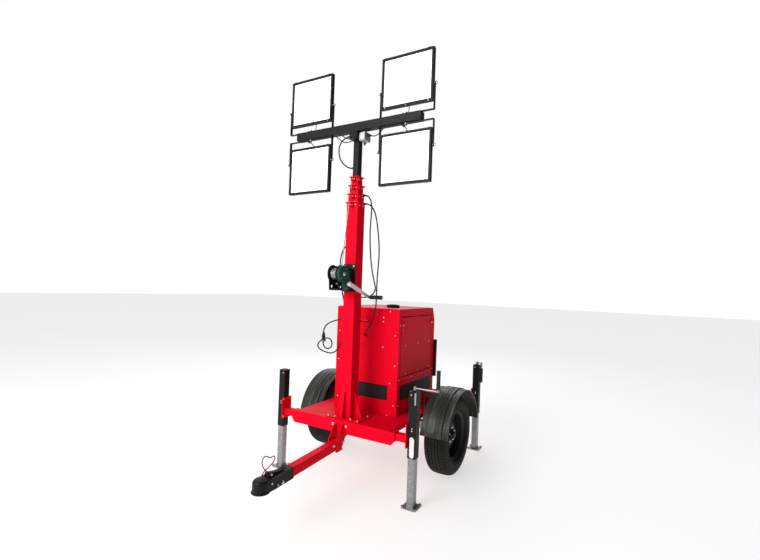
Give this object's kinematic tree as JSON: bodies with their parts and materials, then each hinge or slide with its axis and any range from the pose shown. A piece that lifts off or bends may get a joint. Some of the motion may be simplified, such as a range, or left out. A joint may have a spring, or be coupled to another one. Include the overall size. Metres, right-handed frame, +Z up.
{
  "type": "towed mobile light tower",
  "caption": "Towed light tower on screw jacks and two wheels, with a winch-raised telescopic mast, a T-bar of tilting floodlights and a generator canopy with side doors.",
  "frame": {"origin": "on the ground, under the middle of the outline", "axes": "+Z up along the mast, -Y towards the coupler, +X to the machine's right side"},
  "size_m": [1.536, 2.251, 3.138],
  "materials": {
    "red_paint": "gloss powder coat",
    "black_paint": "satin black paint",
    "galvanised_steel": "zinc plated",
    "black_plastic": "moulded",
    "tyre_rubber": "matte",
    "dark_steel": "satin",
    "grey_box": "cast",
    "green_paint": "gloss",
    "cable_rubber": "matte",
    "engine_grey": "painted",
    "lamp_glass": "clear"
  },
  "bodies": {
    "frame": {"chassis": "red_paint", "deck": "red_paint", "drawbar": "red_paint", "coupler": "black_paint", "safety_loop": "red_paint", "axle": "galvanised_steel", "fenders": "black_plastic", "mast_tube": "red_paint", "canopy": "red_paint", "engine": "engine_grey", "roof_cap": "black_plastic", "winch_frame": "black_paint", "winch_gear_case": "green_paint", "winch_drum": "black_paint", "winch_crank": "galvanised_steel", "winch_rope": "galvanised_steel", "mast_cable": "cable_rubber", "mast_cable_upper": "cable_rubber", "side_lead": "cable_rubber", "side_plug": "black_plastic"},
    "wheel_left": {"tyre_left": "tyre_rubber", "rim_left": "dark_steel"},
    "wheel_right": {"tyre_right": "tyre_rubber", "rim_right": "dark_steel"},
    "mast_2": {"mast_stage_2": "red_paint"},
    "mast_3": {"mast_stage_3": "red_paint"},
    "mast_4": {"mast_stage_4": "red_paint"},
    "mast_head": {"mast_post": "black_paint", "t_bar": "black_paint", "junction_box": "grey_box", "post_cable": "cable_rubber"},
    "outrigger_front_left": {"arm_front_left": "red_paint", "jack_front_left": "black_paint"},
    "leg_front_left": {"leg_front_left": "galvanised_steel"},
    "outrigger_front_right": {"arm_front_right": "red_paint", "jack_front_right": "black_paint", "crank_front_right": "galvanised_steel"},
    "leg_front_right": {"leg_front_right": "galvanised_steel"},
    "outrigger_rear_left": {"arm_rear_left": "red_paint", "jack_rear_left": "black_paint", "crank_rear_left": "galvanised_steel"},
    "leg_rear_left": {"leg_rear_left": "galvanised_steel"},
    "outrigger_rear_right": {"arm_rear_right": "red_paint", "jack_rear_right": "black_paint", "crank_rear_right": "galvanised_steel"},
    "leg_rear_right": {"leg_rear_right": "galvanised_steel"},
    "yoke_upper_left": {"yoke_upper_left": "black_paint"},
    "lamp_upper_left": {"lamp_upper_left": "black_paint", "glass_upper_left": "lamp_glass"},
    "yoke_upper_right": {"yoke_upper_right": "black_paint"},
    "lamp_upper_right": {"lamp_upper_right": "black_paint", "glass_upper_right": "lamp_glass"},
    "yoke_lower_left": {"yoke_lower_left": "black_paint"},
    "lamp_lower_left": {"lamp_lower_left": "black_paint", "glass_lower_left": "lamp_glass"},
    "yoke_lower_right": {"yoke_lower_right": "black_paint"},
    "lamp_lower_right": {"lamp_lower_right": "black_paint", "glass_lower_right": "lamp_glass"},
    "door_left": {"door_left": "red_paint"},
    "door_right": {"door_right": "red_paint"}
  },
  "joints": [
    {"name": "wheel_left", "type": "hinge", "parent": "frame", "child": "wheel_left", "pos_m": [-0.575, 0.4135, 0.31], "axis": [1, 0, 0], "continuous": true},
    {"name": "wheel_right", "type": "hinge", "parent": "frame", "child": "wheel_right", "pos_m": [0.575, 0.4135, 0.31], "axis": [1, 0, 0], "continuous": true},
    {"name": "mast_lift", "type": "slide", "parent": "frame", "child": "mast_2", "axis": [0, 0, 1], "range_m": [0, 1.3]},
    {"name": "mast_lift_3", "type": "slide", "parent": "mast_2", "child": "mast_3", "axis": [0, 0, 1], "range_m": [0, 1.3]},
    {"name": "mast_lift_4", "type": "slide", "parent": "mast_3", "child": "mast_4", "axis": [0, 0, 1], "range_m": [0, 1.3]},
    {"name": "mast_lift_head", "type": "slide", "parent": "mast_4", "child": "mast_head", "axis": [0, 0, 1], "range_m": [0, 1.3]},
    {"name": "outrigger_front_left", "type": "slide", "parent": "frame", "child": "outrigger_front_left", "axis": [-1, 0, 0], "range_m": [0, 0.3]},
    {"name": "jack_front_left", "type": "slide", "parent": "outrigger_front_left", "child": "leg_front_left", "axis": [0, 0, 1], "range_m": [0, 0.29]},
    {"name": "outrigger_front_right", "type": "slide", "parent": "frame", "child": "outrigger_front_right", "axis": [1, 0, 0], "range_m": [0, 0.3]},
    {"name": "jack_front_right", "type": "slide", "parent": "outrigger_front_right", "child": "leg_front_right", "axis": [0, 0, 1], "range_m": [0, 0.29]},
    {"name": "outrigger_rear_left", "type": "slide", "parent": "frame", "child": "outrigger_rear_left", "axis": [-1, 0, 0], "range_m": [0, 0.3]},
    {"name": "jack_rear_left", "type": "slide", "parent": "outrigger_rear_left", "child": "leg_rear_left", "axis": [0, 0, 1], "range_m": [0, 0.29]},
    {"name": "outrigger_rear_right", "type": "slide", "parent": "frame", "child": "outrigger_rear_right", "axis": [1, 0, 0], "range_m": [0, 0.3]},
    {"name": "jack_rear_right", "type": "slide", "parent": "outrigger_rear_right", "child": "leg_rear_right", "axis": [0, 0, 1], "range_m": [0, 0.29]},
    {"name": "pan_upper_left", "type": "hinge", "parent": "mast_head", "child": "yoke_upper_left", "pos_m": [-0.431, -0.2285, 2.704], "axis": [0, 0, 1], "range_deg": [-90, 90]},
    {"name": "tilt_upper_left", "type": "hinge", "parent": "yoke_upper_left", "child": "lamp_upper_left", "pos_m": [-0.431, -0.2285, 2.887], "axis": [1, 0, 0], "range_deg": [-60, 60]},
    {"name": "pan_upper_right", "type": "hinge", "parent": "mast_head", "child": "yoke_upper_right", "pos_m": [0.431, -0.2285, 2.704], "axis": [0, 0, 1], "range_deg": [-90, 90]},
    {"name": "tilt_upper_right", "type": "hinge", "parent": "yoke_upper_right", "child": "lamp_upper_right", "pos_m": [0.431, -0.2285, 2.887], "axis": [1, 0, 0], "range_deg": [-60, 60]},
    {"name": "pan_lower_left", "type": "hinge", "parent": "mast_head", "child": "yoke_lower_left", "pos_m": [-0.431, -0.2285, 2.642], "axis": [0, 0, 1], "range_deg": [-90, 90]},
    {"name": "tilt_lower_left", "type": "hinge", "parent": "yoke_lower_left", "child": "lamp_lower_left", "pos_m": [-0.431, -0.2285, 2.459], "axis": [1, 0, 0], "range_deg": [-60, 60]},
    {"name": "pan_lower_right", "type": "hinge", "parent": "mast_head", "child": "yoke_lower_right", "pos_m": [0.431, -0.2285, 2.642], "axis": [0, 0, 1], "range_deg": [-90, 90]},
    {"name": "tilt_lower_right", "type": "hinge", "parent": "yoke_lower_right", "child": "lamp_lower_right", "pos_m": [0.431, -0.2285, 2.459], "axis": [1, 0, 0], "range_deg": [-60, 60]},
    {"name": "door_left", "type": "hinge", "parent": "frame", "child": "door_left", "pos_m": [-0.2991, -0.1865, 0.774], "axis": [0, -1, 0], "range_deg": [0, 90]},
    {"name": "door_right", "type": "hinge", "parent": "frame", "child": "door_right", "pos_m": [0.2991, -0.1865, 0.774], "axis": [0, 1, 0], "range_deg": [0, 90]}
  ],
  "couplings": [
    {"joint": "mast_lift_3", "follows": "mast_lift", "ratio": 1},
    {"joint": "mast_lift_4", "follows": "mast_lift", "ratio": 1},
    {"joint": "mast_lift_head", "follows": "mast_lift", "ratio": 1}
  ]
}
